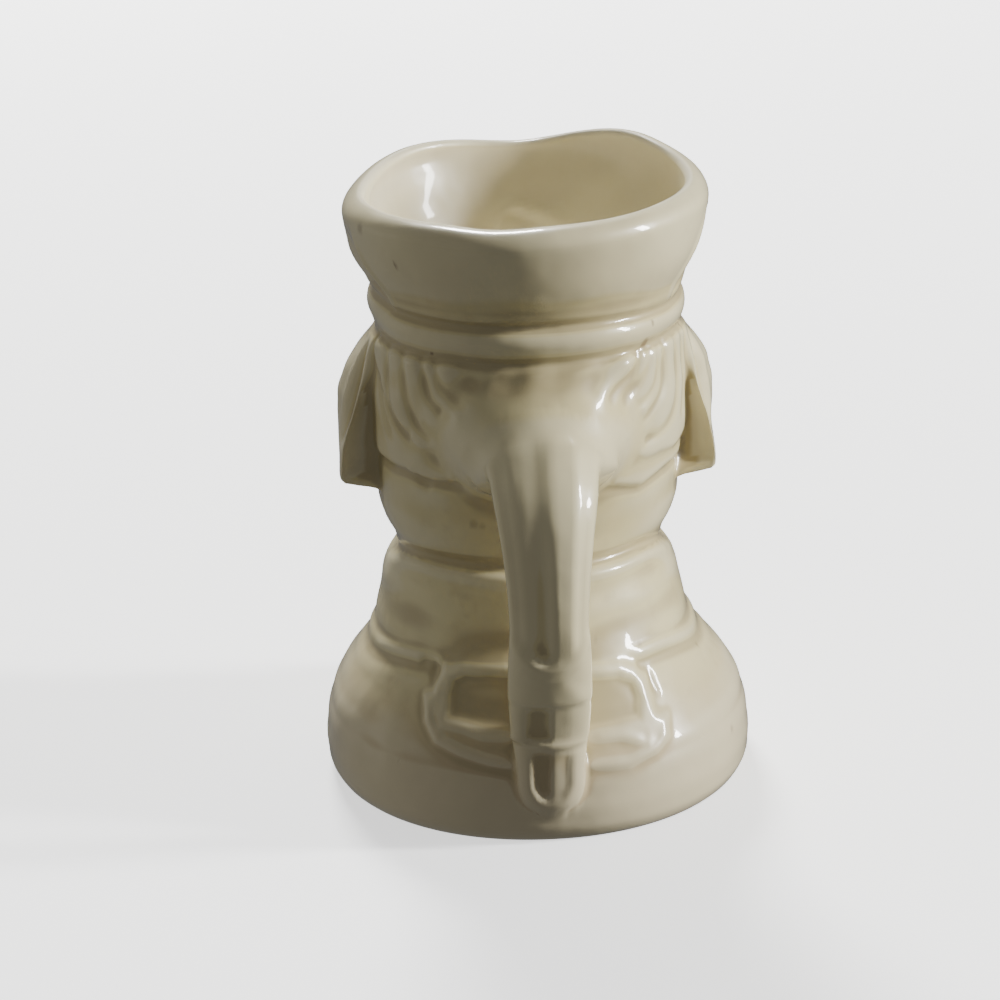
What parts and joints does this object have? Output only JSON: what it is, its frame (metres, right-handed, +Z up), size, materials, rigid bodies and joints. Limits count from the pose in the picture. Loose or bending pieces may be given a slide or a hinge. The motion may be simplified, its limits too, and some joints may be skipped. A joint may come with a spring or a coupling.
{
  "type": "toby jug",
  "caption": "Small hollow jug shaped as a head and shoulders in a cocked hat, its rim the mouth and its tied-back hair the handle",
  "frame": {"origin": "middle of the bounding box on the plane the foot stands on", "axes": "+Z up; +Y out through the handle, the back of the head; -Y the way the face looks and the hat pours; +X the figure's own left"},
  "size_m": [0.0716, 0.0828, 0.1028],
  "materials": {
    "cream_glaze": "glossy ivory lead-type glaze over pale earthenware, pooled darker in the hollows"
  },
  "bodies": {
    "root": {"jug": "cream_glaze"}
  },
  "joints": []
}
